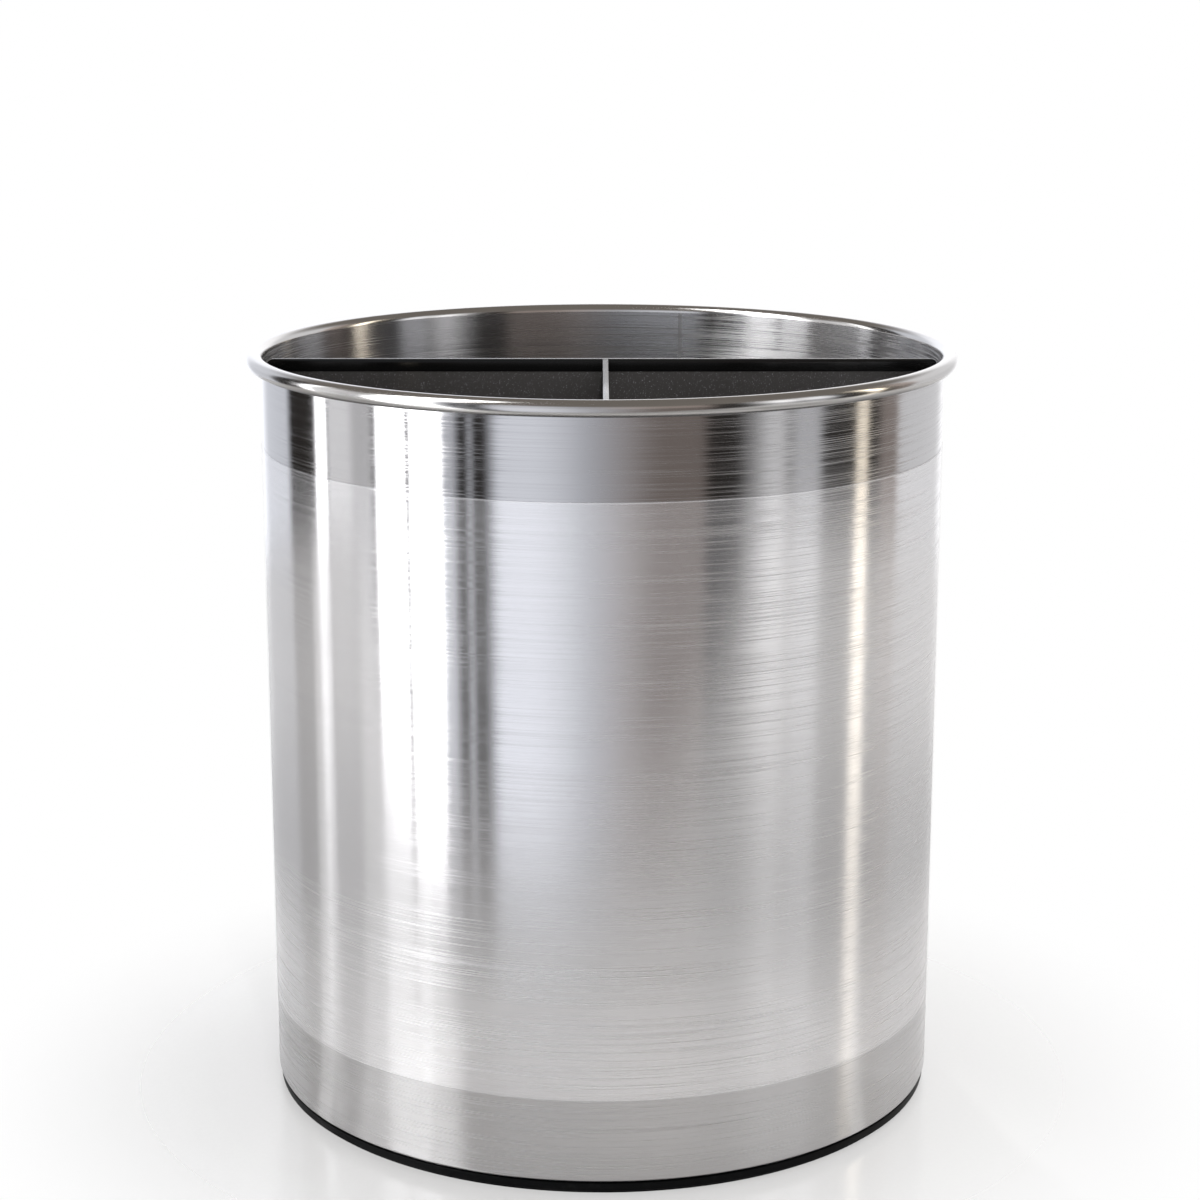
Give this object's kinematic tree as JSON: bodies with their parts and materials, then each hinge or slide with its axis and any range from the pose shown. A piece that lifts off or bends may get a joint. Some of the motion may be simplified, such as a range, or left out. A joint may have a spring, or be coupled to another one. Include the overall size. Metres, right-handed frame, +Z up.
{
  "type": "divided utensil holder",
  "caption": "Round brushed-steel utensil holder with a curled rim, a lift-out three-way divider and a weighted base it turns on.",
  "frame": {"origin": "centre of the foot, on the surface the holder stands on", "axes": "+Z up along the can's axis, -Y towards the front with the two quarter compartments, +X to the right"},
  "size_m": [0.168, 0.168, 0.1804],
  "materials": {
    "brushed_steel": "stainless steel, brushed round the can, polished rim",
    "milky_film": "thin milky see-through film",
    "divider_plastic": "black, smooth band above a fine satin grain",
    "base_plastic": "black, fine moulded grain",
    "black_rubber": "matte black",
    "white_nylon": "natural nylon",
    "zinc_steel": "zinc plated",
    "bearing_steel": "polished",
    "ballast_iron": "black painted"
  },
  "bodies": {
    "base": {"base_plate": "base_plastic", "grip_ring": "black_rubber", "hub_bush": "white_nylon", "lower_race": "zinc_steel", "lower_race_screw_1": "zinc_steel", "lower_race_screw_2": "zinc_steel", "lower_race_screw_3": "zinc_steel", "lower_race_screw_4": "zinc_steel"},
    "ball_ring": {"ball_cage": "white_nylon", "bearing_ball_1": "bearing_steel", "bearing_ball_2": "bearing_steel", "bearing_ball_3": "bearing_steel", "bearing_ball_4": "bearing_steel", "bearing_ball_5": "bearing_steel", "bearing_ball_6": "bearing_steel", "bearing_ball_7": "bearing_steel", "bearing_ball_8": "bearing_steel", "bearing_ball_9": "bearing_steel", "bearing_ball_10": "bearing_steel", "bearing_ball_11": "bearing_steel", "bearing_ball_12": "bearing_steel"},
    "can": {"can_wall": "brushed_steel", "can_floor": "brushed_steel", "film_band": "milky_film", "bearing_carrier": "base_plastic", "ballast_disc": "ballast_iron", "ballast_screw_1": "zinc_steel", "ballast_screw_2": "zinc_steel", "ballast_screw_3": "zinc_steel", "upper_race": "zinc_steel", "upper_race_screw_1": "zinc_steel", "upper_race_screw_2": "zinc_steel", "upper_race_screw_3": "zinc_steel", "upper_race_screw_4": "zinc_steel", "centre_screw": "zinc_steel", "centre_washer": "zinc_steel"},
    "mat": {"floor_mat": "black_rubber"},
    "divider": {"divider_long_wall": "divider_plastic", "divider_cross_wall": "divider_plastic"}
  },
  "joints": [
    {"name": "can_turn", "type": "hinge", "parent": "base", "child": "can", "pos_m": [0, 0, 0], "axis": [0, 0, 1], "continuous": true},
    {"name": "cage_roll", "type": "hinge", "parent": "base", "child": "ball_ring", "pos_m": [0, 0, 0], "axis": [0, 0, 1], "continuous": true},
    {"name": "mat_lift", "type": "slide", "parent": "can", "child": "mat", "axis": [0, 0, 1], "range_m": [0, 0.17]},
    {"name": "divider_lift", "type": "slide", "parent": "mat", "child": "divider", "axis": [0, 0, 1], "range_m": [0, 0.17]}
  ],
  "couplings": [
    {"joint": "cage_roll", "follows": "can_turn", "ratio": 0.5}
  ]
}
